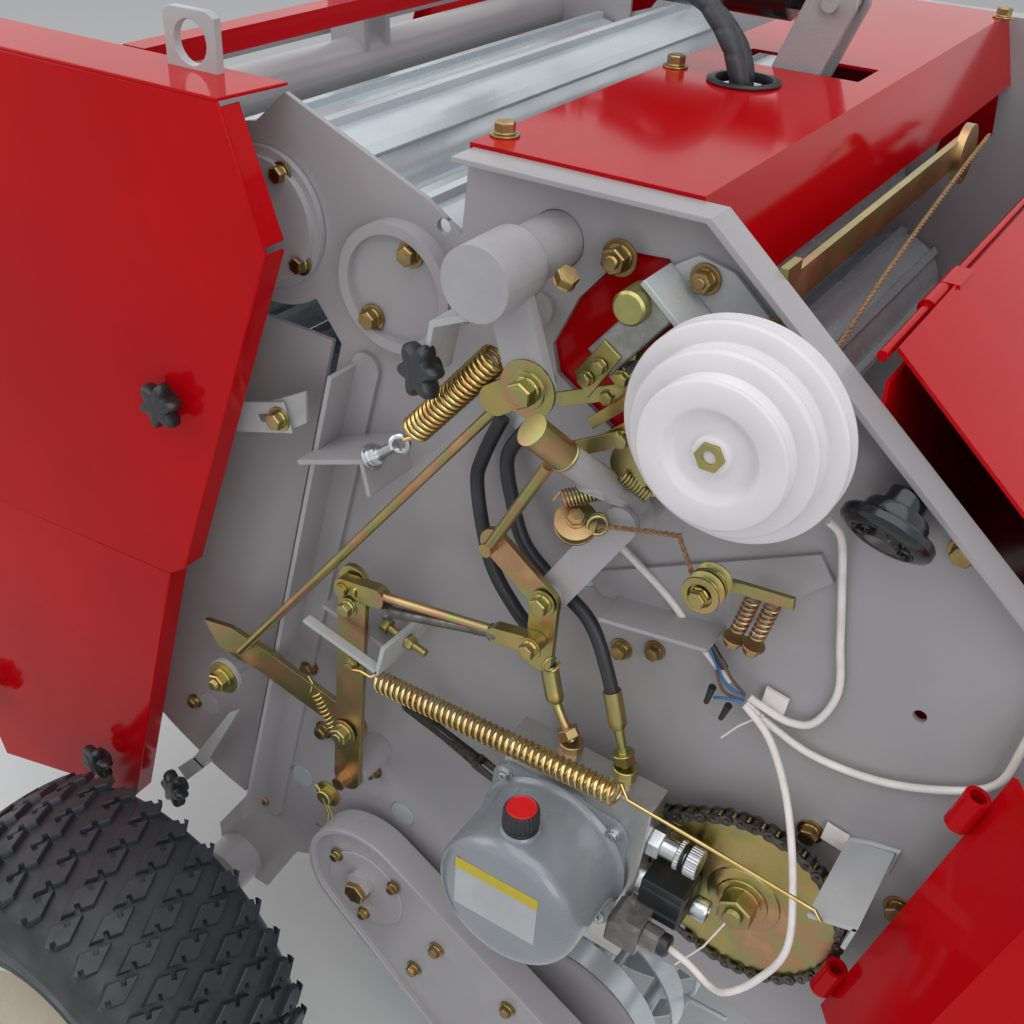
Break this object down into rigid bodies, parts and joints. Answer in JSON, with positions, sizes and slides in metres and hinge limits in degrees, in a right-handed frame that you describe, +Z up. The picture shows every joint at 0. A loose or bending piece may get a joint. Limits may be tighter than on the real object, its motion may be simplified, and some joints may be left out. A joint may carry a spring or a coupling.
{
  "type": "small fixed-chamber round baler",
  "caption": "Small round baler with ribbed rollers, lifting rear gate, pickup, twine drive, two turf tyres and a three-point front hitch.",
  "frame": {"origin": "on the ground, under the middle of the outer box", "axes": "+X forward to the tractor, +Y to the left side, +Z up"},
  "size_m": [1.45, 1.521, 1.287],
  "materials": {
    "red_paint": "gloss",
    "grey_paint": "satin",
    "roller_steel": "satin",
    "zinc_yellow": "yellow zinc plated",
    "white_hdpe": "turned, matt",
    "black_rubber": "matt",
    "tyre_rubber": "matt",
    "rim_paint": "gloss",
    "tank_paint": "semi-gloss",
    "aluminium_block": "milled",
    "black_plastic": "moulded",
    "cylinder_paint": "gloss",
    "chromed_rod": "polished"
  },
  "bodies": {
    "root": {"side_plate_right": "grey_paint", "side_plate_left": "grey_paint", "main_frame": "grey_paint", "frame_rollers": "roller_steel", "top_cover": "red_paint", "right_brackets": "grey_paint", "front_guards": "red_paint", "twine_box": "red_paint", "gearbox": "grey_paint", "cross_shaft": "roller_steel", "drive_chain": "zinc_yellow", "torque_tube": "grey_paint", "latch_rod": "zinc_yellow", "latch_hook": "zinc_yellow", "density_lever": "zinc_yellow", "density_spring": "zinc_yellow", "crank_spring": "zinc_yellow", "link_rod": "zinc_yellow", "bell_crank": "zinc_yellow", "twine_bracket": "grey_paint", "step_pulley": "white_hdpe", "twine_tensioner": "zinc_yellow", "twine_bar": "zinc_yellow", "horn": "black_plastic", "oil_tank": "tank_paint", "pump_block": "aluminium_block", "valve": "black_plastic", "hoses": "black_rubber", "lift_hoses": "black_rubber", "pump_sprocket": "zinc_yellow"},
    "gate": {"gate_plates": "grey_paint", "gate_rollers": "roller_steel", "gate_cover_right": "red_paint", "gate_cover_left": "red_paint", "gate_beam": "grey_paint"},
    "lift_barrel": {"lift_barrel": "cylinder_paint"},
    "lift_rod": {"lift_rod": "chromed_rod"},
    "left_wheel": {"tyre_left": "tyre_rubber", "rim_left": "rim_paint"},
    "right_wheel": {"tyre_right": "tyre_rubber", "rim_right": "rim_paint"},
    "pickup": {"pickup_frame": "grey_paint", "pickup_bands": "roller_steel", "pickup_case": "grey_paint"},
    "pickup_reel": {"pickup_reel": "roller_steel"},
    "hood": {"hood": "red_paint"},
    "left_door": {"left_door": "red_paint"},
    "parking_leg": {"parking_leg": "grey_paint"}
  },
  "joints": [
    {"name": "gate_hinge", "type": "hinge", "parent": "root", "child": "gate", "pos_m": [-0.19673, 0, 1.0988], "axis": [0, 1, 0], "range_deg": [0, 55]},
    {"name": "lift_barrel_hinge", "type": "hinge", "parent": "root", "child": "lift_barrel", "pos_m": [0.133, 0, 1.262], "axis": [0, 1, 0], "range_deg": [-2, 30]},
    {"name": "lift_rod_slide", "type": "slide", "parent": "lift_barrel", "child": "lift_rod", "axis": [1, 0, 0], "range_m": [-0.002, 0.23]},
    {"name": "left_wheel_spin", "type": "hinge", "parent": "root", "child": "left_wheel", "pos_m": [-0.315, 0.653, 0.2275], "axis": [0, 1, 0], "continuous": true},
    {"name": "right_wheel_spin", "type": "hinge", "parent": "root", "child": "right_wheel", "pos_m": [-0.315, -0.653, 0.2275], "axis": [0, 1, 0], "continuous": true},
    {"name": "pickup_lift", "type": "hinge", "parent": "root", "child": "pickup", "pos_m": [-0.079, 0, 0.377], "axis": [0, -1, 0], "range_deg": [0, 15]},
    {"name": "pickup_spin", "type": "hinge", "parent": "pickup", "child": "pickup_reel", "pos_m": [0.137, 0, 0.216], "axis": [0, 1, 0], "continuous": true},
    {"name": "hood_hinge", "type": "hinge", "parent": "root", "child": "hood", "pos_m": [0.341, 0, 1.121], "axis": [0, -1, 0], "range_deg": [0, 95]},
    {"name": "left_door_hinge", "type": "hinge", "parent": "root", "child": "left_door", "pos_m": [0.41429, 0.471, 0.55125], "axis": [-0.2497, 0, -0.9683], "range_deg": [0, 75]},
    {"name": "parking_leg_slide", "type": "slide", "parent": "root", "child": "parking_leg", "axis": [0, 0, 1], "range_m": [0, 0.25]}
  ],
  "couplings": [
    {"joint": "lift_barrel_hinge", "follows": "gate_hinge", "ratio": 0.37601},
    {"joint": "lift_rod_slide", "follows": "gate_hinge", "m_per_rad": 0.22125}
  ]
}
